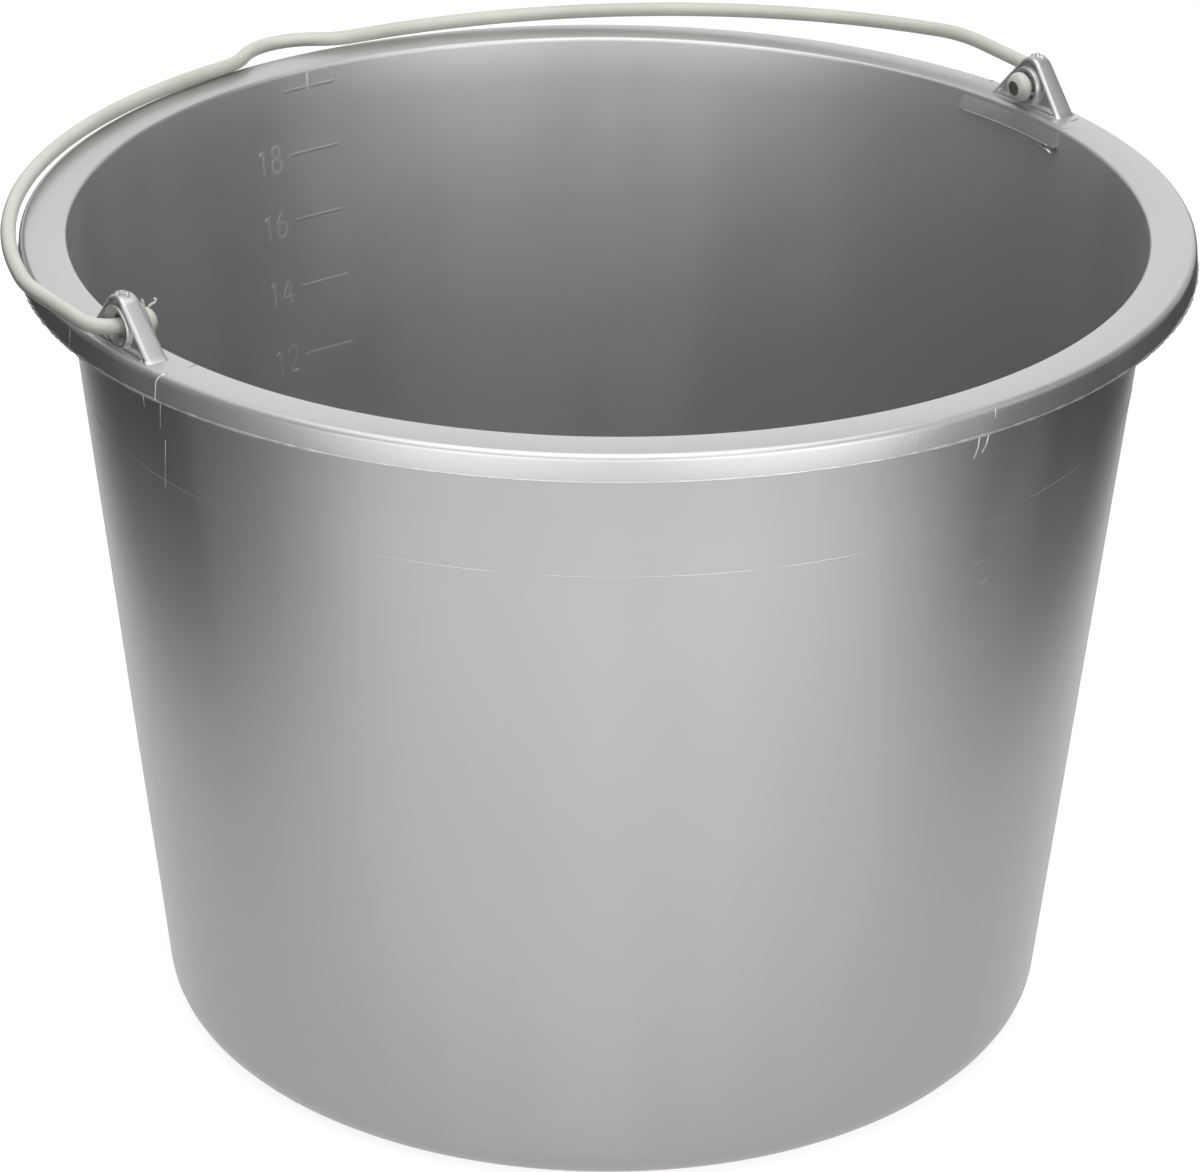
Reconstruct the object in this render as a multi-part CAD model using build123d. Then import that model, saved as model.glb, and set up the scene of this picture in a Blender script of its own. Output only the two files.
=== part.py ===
from build123d import *
import math
import os

# A 20 litre bucket, in millimetres. The origin is the centre of the base, +Z is up,
# the ears stand at +X and -X, and the bail lies folded towards +Y.

# Wall and floor
height = 269.3
wall_top_radius = 172.7
wall_draft = 6.02
wall_thickness = 2.0
floor_thickness = 3.0
bottom_round = 14.0

# Rim: a flat ring round the mouth with a skirt turned down at its outer edge
rim_radius = 186.0
rim_thickness = 2.6
rim_round = 1.8
mouth_round = 1.0
under_rim_round = 1.2
skirt_depth = 8.3
skirt_thickness = 2.2
skirt_flare = 0.7
skirt_edge_round = 0.4

# Ears: lugs that stand on the rim and carry the bail
ear_inner_face = 175.0
ear_thickness = 7.2
ear_height = 16.5
ear_half_width = 17.0
ear_apex_radius = 6.0
ear_root = 1.4
ear_foot_round = 2.5
ear_border = 2.4
ear_recess = 1.4
hole_height = 6.6
hole_radius = 3.7
collar_radius = 6.7
dish_radius = 5.5
dish_depth = 1.6

ear_directions = (0, 180)

# Pads that thicken the inner wall under the ears
pad_half_angle = 8.1
pad_depth = 6.3
pad_proud = 1.2

# Litre marks: raised lines inside, midway between the ears
mark_litres = range(2, 21, 2)
mark_direction = 90
mark_half_angle = 3.45
mark_height = 1.0
mark_proud = 0.4

# Bail: one wire that goes round the rim, with a hump in its middle. The arm at +X is sprung:
# that half of the bail stands up from the plane of the other half, which lies on the rim.
wire_radius = 2.4
bail_arc_radius = 193.7
bail_arc_centre = -10.2
bail_arc_end = 20.0
bail_arm = 188.6
bail_arm_lean = 3.4
bail_knee_radius = 60.0
bail_end_bend = 9.0
bail_sprung_angle = 1.76
bail_rest_angle = -1.28
hump_height = 9.6
hump_radius = 22.0
bead_radius = 4.9
bead_inner = 169.3
bead_outer = 172.6
bead_dome_round = 2.5
bead_ear_round = 0.6

# How far a raised shape reaches into the wall that carries it
sink = 0.5

# Worked out from the above
hinge_height = height + hole_height
wire_end = (bead_inner + bead_outer) / 2

litre = 1e6
tolerance = 0.01


def wall_outside(z):
    """Outer radius of the tapered wall at height z."""
    return wall_top_radius - (height - z) * math.tan(math.radians(wall_draft))


def wall_inside(z):
    """Inner radius of the tapered wall at height z."""
    return wall_outside(z) - wall_thickness


def fill_level(litres):
    """Height at which the bucket holds this much, by halving the interval."""
    low = floor_thickness
    high = height
    base = wall_inside(floor_thickness)
    while high - low > tolerance:
        middle = (low + high) / 2
        top = wall_inside(middle)
        cone = math.pi / 3 * (middle - floor_thickness) * (base ** 2 + base * top + top ** 2)
        if cone < litres * litre:
            low = middle
        else:
            high = middle
    return (low + high) / 2


def ring_section(corners):
    """A face in the plane of a radius and the height, from (radius, height, rounding) corners."""
    points = [(radius, z) for radius, z, rounding in corners]
    roundings = [rounding for radius, z, rounding in corners]
    outline = FilletPolyline(*points, radius=roundings, close=True)
    return Plane.XZ * make_face(outline)


def ring_sector(corners, direction, half_angle):
    """A section turned about the bucket's axis, half_angle to each side of a direction."""
    sector = revolve(ring_section(corners), axis=Axis.Z, revolution_arc=2 * half_angle)
    return Rot(Z=direction - half_angle) * sector


def shell():
    """Floor, wall, rim and skirt as one turned shape."""
    under_rim = height - rim_thickness
    skirt_edge = height - skirt_depth
    skirt_top_inside = rim_radius - skirt_flare - skirt_thickness
    corners = [
        (0, 0, 0),
        (wall_outside(0), 0, bottom_round),
        (wall_outside(under_rim), under_rim, under_rim_round),
        (skirt_top_inside, under_rim, under_rim_round),
        (rim_radius - skirt_thickness, skirt_edge, skirt_edge_round),
        (rim_radius, skirt_edge, skirt_edge_round),
        (rim_radius - skirt_flare, height, rim_round),
        (wall_inside(height), height, mouth_round),
        (wall_inside(floor_thickness), floor_thickness, bottom_round - wall_thickness),
        (0, floor_thickness, 0),
    ]
    return revolve(ring_section(corners), axis=Axis.Z)


def ear():
    """The lug at +X: a rounded triangle with a bored collar between two recessed fields."""
    apex = Pos(0, ear_height - ear_apex_radius) * Circle(ear_apex_radius)
    foot = Line((-ear_half_width, 0), (ear_half_width, 0))
    triangle = make_hull([*apex.edges(), foot])
    root_width = 2 * (ear_half_width + 2 * ear_foot_round)
    outline = triangle + Pos(0, -ear_root / 2) * Rectangle(root_width, ear_root)
    at_rim = [v for v in outline.vertices() if abs(v.Y) < tolerance]
    foot_corners = [v for v in at_rim if abs(v.X) < ear_half_width + tolerance]
    outline = fillet(foot_corners, ear_foot_round)

    on_rim = Plane.YZ * Pos(0, height)
    plate = Pos(ear_inner_face, 0, 0) * extrude(on_rim * outline, ear_thickness)

    hole_centre = Pos(0, hole_height)
    field = offset(triangle, -ear_border) - hole_centre * Circle(collar_radius)
    pocket = extrude(on_rim * field, ear_recess)
    plate -= Pos(ear_inner_face, 0, 0) * pocket
    plate -= Pos(ear_inner_face + ear_thickness - ear_recess, 0, 0) * pocket

    bore_section = [
        (ear_inner_face, 0),
        (ear_inner_face, dish_radius),
        (ear_inner_face + dish_depth, hole_radius),
        (ear_inner_face + ear_thickness - dish_depth, hole_radius),
        (ear_inner_face + ear_thickness, dish_radius),
        (ear_inner_face + ear_thickness, 0),
    ]
    bore = revolve(make_face(Polyline(*bore_section, close=True)), axis=Axis.X)
    return plate - Pos(0, 0, hinge_height) * bore


def pad(direction):
    """The thick patch of inner wall under one ear, level with the rim."""
    top = wall_inside(height)
    low = height - pad_depth
    bottom = wall_inside(low)
    corners = [
        (top + mouth_round + sink, height, 0),
        (top - pad_proud + mouth_round, height, mouth_round),
        (bottom - pad_proud, low, 0),
        (bottom + sink, low, 0),
    ]
    return ring_sector(corners, direction, pad_half_angle)


def litre_mark(litres):
    """One raised line on the inner wall, at the +Y side."""
    low = fill_level(litres) - mark_height / 2
    high = low + mark_height
    corners = [
        (wall_inside(low) + sink, low, 0),
        (wall_inside(high) + sink, high, 0),
        (wall_inside(high) - mark_proud, high, 0),
        (wall_inside(low) - mark_proud, low, 0),
    ]
    return ring_sector(corners, mark_direction, mark_half_angle)


def bucket_body():
    """The whole moulding."""
    body = shell()
    for direction in ear_directions:
        body += Rot(Z=direction) * ear()
        body += pad(direction)
    for litres in mark_litres:
        body += litre_mark(litres)
    return body


def arc_between(centre, radius, start, end):
    """Arc of a circle from one direction to another, in degrees."""
    return CenterArc(centre, radius, start, end - start)


def half_bail(tip):
    """Centre line of the +X half, laid flat with the hinge along X, then tipped about the hump's top."""
    big_centre = (0, bail_arc_centre)
    hump_top = bail_arc_centre + bail_arc_radius + hump_height
    hump_centre = (0, hump_top - hump_radius)

    # The hollow beside the hump touches the big arc and the hump from outside.
    to_big = bail_arc_radius + hump_radius
    to_hump = 2 * hump_radius
    span = hump_centre[1] - bail_arc_centre
    along = (to_big ** 2 - to_hump ** 2 + span ** 2) / (2 * span)
    hollow = (math.sqrt(to_big ** 2 - along ** 2), bail_arc_centre + along)
    hump_side = math.degrees(math.atan2(hollow[1] - hump_centre[1], hollow[0]))
    hollow_side = math.degrees(math.atan2(hollow[1] - bail_arc_centre, hollow[0]))
    arcs = [
        arc_between(hump_centre, hump_radius, 90, hump_side),
        arc_between(hollow, hump_radius, hump_side + 180, hollow_side + 180),
        arc_between(big_centre, bail_arc_radius, hollow_side, bail_arc_end),
    ]
    tip_about_top = Pos(0, hump_top, 0) * Rot(X=-tip) * Pos(0, -hump_top, 0)
    arcs = [tip_about_top * arc for arc in arcs]

    # The knee is the corner between the big arc's tangent and the leaning arm.
    arc_tip = arcs[-1] @ 1
    tangent = arcs[-1] % 1
    lean = math.tan(math.radians(bail_arm_lean))
    reach = (bail_arm - lean * arc_tip.Y - arc_tip.X) / (tangent.X + lean * tangent.Y)
    knee = arc_tip + tangent * reach
    corners = [arc_tip, knee, (bail_arm, 0, 0), (wire_end, 0, 0)]
    arm = FilletPolyline(*corners, radius=[bail_knee_radius, bail_end_bend])
    return [*arcs, *arm.edges()]


def bail_path():
    """Centre line of the whole wire, from end to end."""
    flat_half = [edge.mirror(Plane.YZ) for edge in half_bail(0)]
    return Wire([*reversed(flat_half), *half_bail(bail_sprung_angle)])


def wire_bail():
    """The bent wire with a domed bead upset on each end, at rest on the rim."""
    path = bail_path()
    start = Plane(origin=path @ 0, z_dir=path % 0)
    wire = sweep(start * Circle(wire_radius), path=path)
    bead_corners = [
        (bead_inner, 0),
        (bead_outer, 0),
        (bead_outer, bead_radius),
        (bead_inner, bead_radius),
    ]
    bead_roundings = [0, 0, bead_ear_round, bead_dome_round]
    bead_outline = FilletPolyline(*bead_corners, radius=bead_roundings, close=True)
    bead = revolve(make_face(bead_outline), axis=Axis.X)
    bail = wire + bead + mirror(bead, about=Plane.YZ)
    expected = math.pi * wire_radius ** 2 * path.length
    print("wire length", round(path.length, 1), "swept share", round(wire.volume / expected, 4))
    return Pos(0, 0, hinge_height) * Rot(X=bail_rest_angle) * bail


os.makedirs("parts", exist_ok=True)
nodes = {
    "bucket_body": bucket_body(),
    "wire_bail": wire_bail(),
}
for name, shape in nodes.items():
    export_step(shape, f"parts/{name}.step")
    print(name, "volume", round(shape.volume), "solids", len(shape.solids()))
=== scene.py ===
# %% [markdown]
# # A bucket with a folding wire bail
#
# The object is a 20 litre plastic bucket: one moulding with a flat skirted rim, an ear on each
# side and raised litre marks inside, and one bent wire that turns in the ears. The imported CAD
# model is the fixed frame. It says where the bucket stands, where the ears are and how the bail
# turns, so it is loaded first and left as it is. Its solids are faceted for physics. Finer
# meshes with softer edges are built here to the same sizes, and are shown in their place.

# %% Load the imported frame
import math

import bmesh
import bpy
from mathutils import Matrix, Vector, noise


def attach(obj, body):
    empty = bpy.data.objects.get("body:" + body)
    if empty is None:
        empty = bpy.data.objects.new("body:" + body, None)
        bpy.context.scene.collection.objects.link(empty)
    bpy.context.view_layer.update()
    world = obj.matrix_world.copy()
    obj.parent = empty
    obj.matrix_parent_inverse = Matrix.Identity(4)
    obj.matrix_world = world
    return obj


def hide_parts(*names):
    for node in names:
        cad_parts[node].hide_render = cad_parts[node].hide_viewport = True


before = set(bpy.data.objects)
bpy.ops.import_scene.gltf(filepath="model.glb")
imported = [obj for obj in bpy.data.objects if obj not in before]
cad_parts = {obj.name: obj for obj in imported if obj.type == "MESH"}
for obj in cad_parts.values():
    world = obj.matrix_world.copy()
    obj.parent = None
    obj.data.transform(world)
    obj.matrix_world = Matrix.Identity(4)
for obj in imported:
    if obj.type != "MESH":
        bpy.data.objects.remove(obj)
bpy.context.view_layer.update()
scene = bpy.context.scene

# %% [markdown]
# ## Helpers for meshes
#
# Every piece is a grid of points: a section carried round an axis or along a path. Blender could
# make such shapes with Screw and Curve objects, but points worked out in code can be nudged one by
# one, which the small moulding faults need. Sizes are written in millimetres, as on a drawing,
# and turned into metres when a mesh is made.

# %% Make a piece from points and faces
millimetre = 0.001
crease_angle = math.radians(38)


def add_piece(name, points, faces, body, slot, finish):
    """A smooth closed mesh that rides on a CAD body."""
    mesh = bpy.data.meshes.new(name)
    mesh.from_pydata([Vector(point) * millimetre for point in points], [], faces)
    work = bmesh.new()
    work.from_mesh(mesh)
    bmesh.ops.recalc_face_normals(work, faces=work.faces)
    work.to_mesh(mesh)
    work.free()
    mesh.shade_smooth()
    mesh.set_sharp_from_angle(angle=crease_angle)
    mesh.materials.append(finish)
    piece = bpy.data.objects.new(name, mesh)
    scene.collection.objects.link(piece)
    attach(piece, body)
    print(name, "has", len(mesh.vertices), "points")
    return piece


def join(parts):
    """One list of points and one of faces, from several such pairs."""
    points = []
    faces = []
    for part_points, part_faces in parts:
        start = len(points)
        points += part_points
        faces += [[start + corner for corner in face] for face in part_faces]
    return points, faces


# %% Faces of a grid
def grid_faces(rows, columns, wrap_rows=False, wrap_columns=False):
    """Quads between neighbouring points of a grid that is listed row by row."""
    faces = []
    for row in range(rows if wrap_rows else rows - 1):
        next_row = (row + 1) % rows
        for column in range(columns if wrap_columns else columns - 1):
            next_column = (column + 1) % columns
            faces.append((
                row * columns + column,
                row * columns + next_column,
                next_row * columns + next_column,
                next_row * columns + column,
            ))
    return faces


def capped_faces(rows, columns):
    """Faces of a tube whose rings are the rows, with one face over each of its ends."""
    faces = grid_faces(rows, columns, wrap_columns=True)
    faces.append(tuple(range(columns)))
    faces.append(tuple(range((rows - 1) * columns, rows * columns)))
    return faces


# %% Round a corner
def rounded_corner(before, corner, after, radius, steps):
    """Points of the arc that rounds a corner between its neighbours, in a plane or in space."""
    to_before = (before - corner).normalized()
    to_after = (after - corner).normalized()
    half = to_before.angle(to_after) / 2
    centre = corner + (to_before + to_after).normalized() * radius / math.sin(half)
    first = corner + to_before * radius / math.tan(half) - centre
    last = corner + to_after * radius / math.tan(half) - centre
    swing = first.angle(last)
    points = []
    for step in range(steps + 1):
        angle = swing * step / steps
        spoke = (first * math.sin(swing - angle) + last * math.sin(angle)) / math.sin(swing)
        points.append(centre + spoke)
    return points


# %% A round tube along a path
def tube(path, radii, sides, closed=False):
    """Points and faces of a tube; each ring is turned only as far as the path bends."""
    count = len(path)
    tangents = []
    for index in range(count):
        ahead = path[(index + 1) % count] if closed else path[min(index + 1, count - 1)]
        behind = path[index - 1] if closed else path[max(index - 1, 0)]
        tangents.append((ahead - behind).normalized())
    normal = tangents[0].orthogonal().normalized()
    points = []
    for index in range(count):
        if index > 0:
            normal = tangents[index - 1].rotation_difference(tangents[index]) @ normal
        side = tangents[index].cross(normal)
        for step in range(sides):
            angle = 2 * math.pi * step / sides
            spoke = normal * math.cos(angle) + side * math.sin(angle)
            points.append(path[index] + spoke * radii[index])
    if closed:
        return points, grid_faces(count, sides, wrap_rows=True, wrap_columns=True)
    return points, capped_faces(count, sides)


# %% A thread for moulding lines and flash
thread_sides = 8
tip_share = 0.25


def thread(path, radius):
    """A thin tube that tapers off within its own radius at both ends."""
    first = path[0].lerp(path[1], min(0.5, radius / (path[1] - path[0]).length))
    last = path[-1].lerp(path[-2], min(0.5, radius / (path[-1] - path[-2]).length))
    path = [path[0], first, *path[1:-1], last, path[-1]]
    radii = [radius] * len(path)
    radii[0] = radius * tip_share
    radii[-1] = radius * tip_share
    return tube(path, radii, thread_sides)


# %% [markdown]
# ## Finishes
#
# The plastic is grey with a satin skin: soft highlights, faint flow streaks that run down the wall
# and fine scuffs from stacking. The wire has a smooth ivory coating, and its cut ends show dark
# steel. The effects that both finishes share are node groups, built once and placed in each
# material with its own values. All of them are procedural, so they need no pictures, and they
# use object coordinates, so they stay on the piece when the bail turns.

# %% Node helpers
def add_node(tree, kind, sockets, **settings):
    """A node whose sockets are set to values or linked to outputs of other nodes."""
    made = tree.nodes.new(kind)
    for setting, value in settings.items():
        setattr(made, setting, value)
    for socket, value in sockets.items():
        if isinstance(value, bpy.types.NodeSocket):
            tree.links.new(value, made.inputs[socket])
        else:
            made.inputs[socket].default_value = value
    return made


def noise_value(tree, where, scale, detail):
    """A soft random value between about 0.3 and 0.7."""
    sockets = {"Vector": where, "Scale": scale, "Detail": detail}
    return add_node(tree, "ShaderNodeTexNoise", sockets).outputs["Fac"]


def stretched(tree, where, rotation, scale):
    """Coordinates turned and stretched, so that noise runs in streaks."""
    sockets = {"Vector": where, "Rotation": rotation, "Scale": scale}
    return add_node(tree, "ShaderNodeMapping", sockets).outputs["Vector"]


def spread(tree, value, low, high, to_low=0.0, to_high=1.0):
    """Stretches the range from low to high over a new range, with soft ends."""
    sockets = {"Value": value, "From Min": low, "From Max": high, "To Min": to_low, "To Max": to_high}
    return add_node(tree, "ShaderNodeMapRange", sockets, interpolation_type="SMOOTHSTEP").outputs["Result"]


def combine(tree, operation, first, second, third=1.0):
    """One maths operation on two values; a third is added by MULTIPLY_ADD."""
    sockets = {0: first, 1: second, 2: third}
    return add_node(tree, "ShaderNodeMath", sockets, operation=operation).outputs["Value"]


# %% Mixes of two colours or two values
# A Mix node has sockets of one name for each kind of data, so they are taken by number.
mix_share = 0
mix_values = (2, 3)
mix_value_out = 0
mix_colours = (6, 7)
mix_colour_out = 2


def mixed_colour(tree, share, first, second):
    """A colour between two others."""
    sockets = {mix_share: share, mix_colours[0]: first, mix_colours[1]: second}
    return add_node(tree, "ShaderNodeMix", sockets, data_type="RGBA").outputs[mix_colour_out]


def mixed_value(tree, share, first, second):
    """A value between two others."""
    sockets = {mix_share: share, mix_values[0]: first, mix_values[1]: second}
    return add_node(tree, "ShaderNodeMix", sockets).outputs[mix_value_out]


# %% Node groups
def start_group(title, inputs, outputs):
    """An empty shader group with its named sockets."""
    group = bpy.data.node_groups.new(title, "ShaderNodeTree")
    for socket, value in inputs.items():
        made = group.interface.new_socket(name=socket, in_out="INPUT", socket_type="NodeSocketFloat")
        made.default_value = value
    for socket in outputs:
        group.interface.new_socket(name=socket, in_out="OUTPUT", socket_type="NodeSocketFloat")
    entry = group.nodes.new("NodeGroupInput").outputs
    result = group.nodes.new("NodeGroupOutput").inputs
    where = group.nodes.new("ShaderNodeTexCoord").outputs["Object"]
    return group, entry, result, where


def place_group(tree, group, values):
    """A group in a material, with its own values."""
    made = tree.nodes.new("ShaderNodeGroup")
    made.node_tree = group
    for socket, value in values.items():
        made.inputs[socket].default_value = value
    return made.outputs


# %% [markdown]
# ### Satin skin
#
# Moulded plastic is never one even grey. Cloudy patches come from uneven cooling, and pale streaks
# follow the melt up the wall. A fine grain breaks up the highlights. One group gives a tone for
# colour and roughness, and a grain for a Bump node. The same unevenness, at another scale, suits the
# coating on the wire.

# %% The satin skin group
streak_stretch = (28.0, 28.0, 2.0)
no_turn = (0.0, 0.0, 0.0)
cloud_detail = 3.0
fine_detail = 2.0
tone_range = (0.75, 1.25)
satin_skin, skin_in, skin_out, skin_where = start_group(
    "satin_skin", {"Cloud Scale": 9.0, "Grain Scale": 1500.0}, ["Tone", "Grain"]
)
cloud = noise_value(satin_skin, skin_where, skin_in["Cloud Scale"], cloud_detail)
streak_where = stretched(satin_skin, skin_where, no_turn, streak_stretch)
streak = noise_value(satin_skin, streak_where, 1.0, fine_detail)
uneven = combine(satin_skin, "ADD", cloud, streak)
satin_skin.links.new(spread(satin_skin, uneven, *tone_range), skin_out["Tone"])
grain = noise_value(satin_skin, skin_where, skin_in["Grain Scale"], fine_detail)
satin_skin.links.new(grain, skin_out["Grain"])
print("satin skin group has", len(satin_skin.nodes), "nodes")

# %% [markdown]
# ### Scuffs
#
# Buckets are sold in nested stacks, so fine rub marks run across the skin. They could be modelled,
# but they are thinner than a hair. Noise that is stretched into long thin streaks gives them, and a
# second, coarse noise keeps them in patches.

# %% The scuffs group
rub_directions = [(0.3, 0.2, 0.5), (1.1, 0.4, 2.0)]
rub_stretch = (35.0, 700.0, 700.0)
rub_range = (0.64, 0.72)
patch_range = (0.5, 0.66)
scuffs, scuff_in, scuff_out, scuff_where = start_group(
    "scuffs", {"Patch Scale": 16.0, "Amount": 0.5}, ["Scuff"]
)
rubs = 0.0
for direction in rub_directions:
    rub_where = stretched(scuffs, scuff_where, direction, rub_stretch)
    lines = noise_value(scuffs, rub_where, 1.0, fine_detail)
    rubs = combine(scuffs, "MAXIMUM", spread(scuffs, lines, *rub_range), rubs)
patch_noise = noise_value(scuffs, scuff_where, scuff_in["Patch Scale"], fine_detail)
patches = spread(scuffs, patch_noise, *patch_range)
in_patches = combine(scuffs, "MULTIPLY", rubs, patches)
marked = combine(scuffs, "MULTIPLY", in_patches, scuff_in["Amount"])
scuffs.links.new(marked, scuff_out["Scuff"])
print("scuffs group has", len(scuffs.nodes), "nodes")

# %% [markdown]
# ### The materials
#
# Each finish is one Principled BSDF. The groups drive its colour, roughness and bump, and what is
# the same all over is set on the shader itself. The raised litre marks get a paler colour of their
# own: a painted highlight that stands for the light their low relief catches.

# %% A finish from the two groups
worn_gain = 1.35
grain_height = 0.1 * millimetre


def satin_finish(name, dark, pale, smooth, rough, skin, scuff, bump, shader_values):
    """A material whose tone runs from dark to pale, and whose roughness runs from smooth to rough."""
    material = bpy.data.materials.new(name)
    material.use_nodes = True
    tree = material.node_tree
    shader = tree.nodes["Principled BSDF"]
    for socket, value in shader_values.items():
        shader.inputs[socket].default_value = value
    surface = place_group(tree, satin_skin, skin)
    rubbed = place_group(tree, scuffs, scuff)["Scuff"]
    colour = mixed_colour(tree, surface["Tone"], (*dark, 1.0), (*pale, 1.0))
    worn = tuple(min(1.0, channel * worn_gain) for channel in pale)
    colour = mixed_colour(tree, rubbed, colour, (*worn, 1.0))
    tree.links.new(colour, shader.inputs["Base Color"])
    roughness = combine(tree, "ADD", spread(tree, surface["Tone"], 0.0, 1.0, smooth, rough), rubbed)
    tree.links.new(roughness, shader.inputs["Roughness"])
    sockets = {"Height": surface["Grain"], "Strength": bump, "Distance": grain_height}
    relief = add_node(tree, "ShaderNodeBump", sockets)
    tree.links.new(relief.outputs["Normal"], shader.inputs["Normal"])
    return material


# %% Plastic, coating and cut steel
plastic_gloss = {"IOR": 1.5, "Metallic": 0.85, "Coat Weight": 1.0}
grey_plastic = satin_finish(
    "grey_plastic",
    dark=(0.44, 0.447, 0.437), pale=(0.46, 0.467, 0.457), smooth=0.44, rough=0.50,
    skin={"Cloud Scale": 9.0, "Grain Scale": 1500.0}, scuff={"Patch Scale": 16.0, "Amount": 0.1},
    bump=0.10, shader_values={**plastic_gloss, "Coat Roughness": 0.22},
)
# The litre marks' paler colour is a painted highlight for the light that their low relief catches.
painted_highlight_plastic = satin_finish(
    "painted_highlight_plastic",
    dark=(0.485, 0.492, 0.482), pale=(0.51, 0.517, 0.507), smooth=0.48, rough=0.54,
    skin={"Cloud Scale": 40.0, "Grain Scale": 1500.0}, scuff={"Patch Scale": 60.0, "Amount": 0.15},
    bump=0.10, shader_values={**plastic_gloss, "Coat Roughness": 0.3},
)
ivory_coating = satin_finish(
    "ivory_coating",
    dark=(0.56, 0.565, 0.50), pale=(0.62, 0.625, 0.56), smooth=0.30, rough=0.42,
    skin={"Cloud Scale": 60.0, "Grain Scale": 2500.0}, scuff={"Patch Scale": 40.0, "Amount": 0.4},
    bump=0.10, shader_values={"IOR": 1.48},
)
cut_steel = satin_finish(
    "cut_steel",
    dark=(0.13, 0.13, 0.115), pale=(0.21, 0.21, 0.185), smooth=0.45, rough=0.65,
    skin={"Cloud Scale": 700.0, "Grain Scale": 3000.0}, scuff={"Patch Scale": 300.0, "Amount": 0.6},
    bump=0.5, shader_values={"Metallic": 0.8},
)
print("finishes:", grey_plastic.name, painted_highlight_plastic.name, ivory_coating.name, cut_steel.name)

# %% [markdown]
# ## The shell
#
# Floor, wall, rim and skirt are one turned shape. The wall leans out by six degrees, so that
# buckets nest and come off the mould. The outline is a list of corners with their roundings, close
# to that of the CAD model but with fine arcs, softer edges, and a rim that dips a little towards the
# mouth. It is turned about the upright axis, and every point is moved by about a tenth of a millimetre
# of slow noise, because a moulded wall is never quite true and its reflections show it.

# %% Sizes of the shell
height = 269.3
wall_top_radius = 172.7
wall_draft = math.radians(6.02)
wall_thickness = 2.0
floor_thickness = 3.0
bottom_round = 14.0
rim_radius = 186.0
rim_thickness = 2.6
rim_round = 2.3
mouth_round = 1.4
mouth_drop = 0.3
rim_crown = 177.0
under_rim_round = 1.2
skirt_depth = 8.3
skirt_thickness = 2.2
skirt_flare = 0.7
skirt_edge_round = 0.4
under_rim = height - rim_thickness
skirt_edge = height - skirt_depth


def wall_outside(z):
    """Outer radius of the tapered wall at a height."""
    return wall_top_radius - (height - z) * math.tan(wall_draft)


def wall_inside(z):
    """Inner radius of the tapered wall at a height."""
    return wall_outside(z) - wall_thickness


def around(radius, azimuth, z):
    """A point at a radius and an azimuth in degrees."""
    angle = math.radians(azimuth)
    return Vector((radius * math.cos(angle), radius * math.sin(angle), z))


print("inner radius at the mouth", round(wall_inside(height), 1), "and at the floor",
      round(wall_inside(floor_thickness), 1))

# %% Outline of the shell
arc_steps = 8
longest_run = 14.0
shell_corners = {
    "underside": (0, 0, 0),
    "heel": (wall_outside(0), 0, bottom_round),
    "under_rim": (wall_outside(under_rim), under_rim, under_rim_round),
    "skirt_root": (rim_radius - skirt_flare - skirt_thickness, under_rim, under_rim_round),
    "skirt_inside": (rim_radius - skirt_thickness, skirt_edge, skirt_edge_round),
    "skirt_outside": (rim_radius, skirt_edge, skirt_edge_round),
    "rim_edge": (rim_radius - skirt_flare, height, rim_round),
    "rim_crown": (rim_crown, height, 0),
    "mouth": (wall_inside(height), height - mouth_drop, mouth_round),
    "inner_heel": (wall_inside(floor_thickness), floor_thickness, bottom_round - wall_thickness),
    "floor": (0, floor_thickness, 0),
}
corner_names = list(shell_corners)
corner_arcs = {}
for place, name in enumerate(corner_names):
    across, up, rounding = shell_corners[name]
    corner = Vector((across, up))
    corner_arcs[name] = [corner]
    if rounding > 0:
        before = Vector(shell_corners[corner_names[place - 1]][:2])
        after = Vector(shell_corners[corner_names[place + 1]][:2])
        corner_arcs[name] = rounded_corner(before, corner, after, rounding, arc_steps)

shell_outline = []
for name in corner_names:
    for spot in corner_arcs[name]:
        if shell_outline:
            last = shell_outline[-1]
            pieces = math.ceil((spot - last).length / longest_run)
            for step in range(1, pieces):
                shell_outline.append(last.lerp(spot, step / pieces))
        shell_outline.append(spot)
print("shell outline has", len(shell_outline), "points")

# %% Turn the outline
turn_steps = 320
wander = 0.12
wander_size = 70.0


def turned(outline, segments):
    """Points and faces of an outline turned about the upright axis, where both its ends lie."""
    rings = outline[1:-1]
    points = []
    for step in range(segments):
        azimuth = 360 * step / segments
        points += [around(spot.x, azimuth, spot.y) for spot in rings]
    faces = grid_faces(segments, len(rings), wrap_rows=True)
    low_pole = len(points)
    high_pole = low_pole + 1
    points += [Vector((0, 0, outline[0].y)), Vector((0, 0, outline[-1].y))]
    for step in range(segments):
        here = step * len(rings)
        there = (step + 1) % segments * len(rings)
        faces.append((low_pole, here, there))
        faces.append((high_pole, there + len(rings) - 1, here + len(rings) - 1))
    return points, faces


def out_of_true(point):
    """The slow wander of a moulded wall, away from the axis."""
    outward = Vector((point.x, point.y, 0)).normalized()
    return point + outward * wander * noise.noise(point / wander_size)


shell_points, shell_faces = turned(shell_outline, turn_steps)
shell_points = [out_of_true(point) for point in shell_points]
shell = add_piece("bucket_shell", shell_points, shell_faces, "bucket", "moulded_plastic", grey_plastic)
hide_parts("bucket_body")

# %% [markdown]
# ## Lines that the mould leaves
#
# Where the parts of a mould meet, the plastic creeps into the gap and leaves a fine raised line.
# One goes right round the wall, half a hand's breadth below the rim, and is broken in places. Another
# follows the lower edge of the skirt, and is ragged. They could be bump in the material, but a thin
# thread that is half sunk in the wall is real geometry and catches the light at any distance.

# %% A ring that follows the wall
ring_steps = 720
usual_share = 0.7
witness_drop = 46.5
witness_sink = 0.12
witness_height = height - witness_drop
flash_sink = 0.10
flash_lift = 0.20


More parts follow.
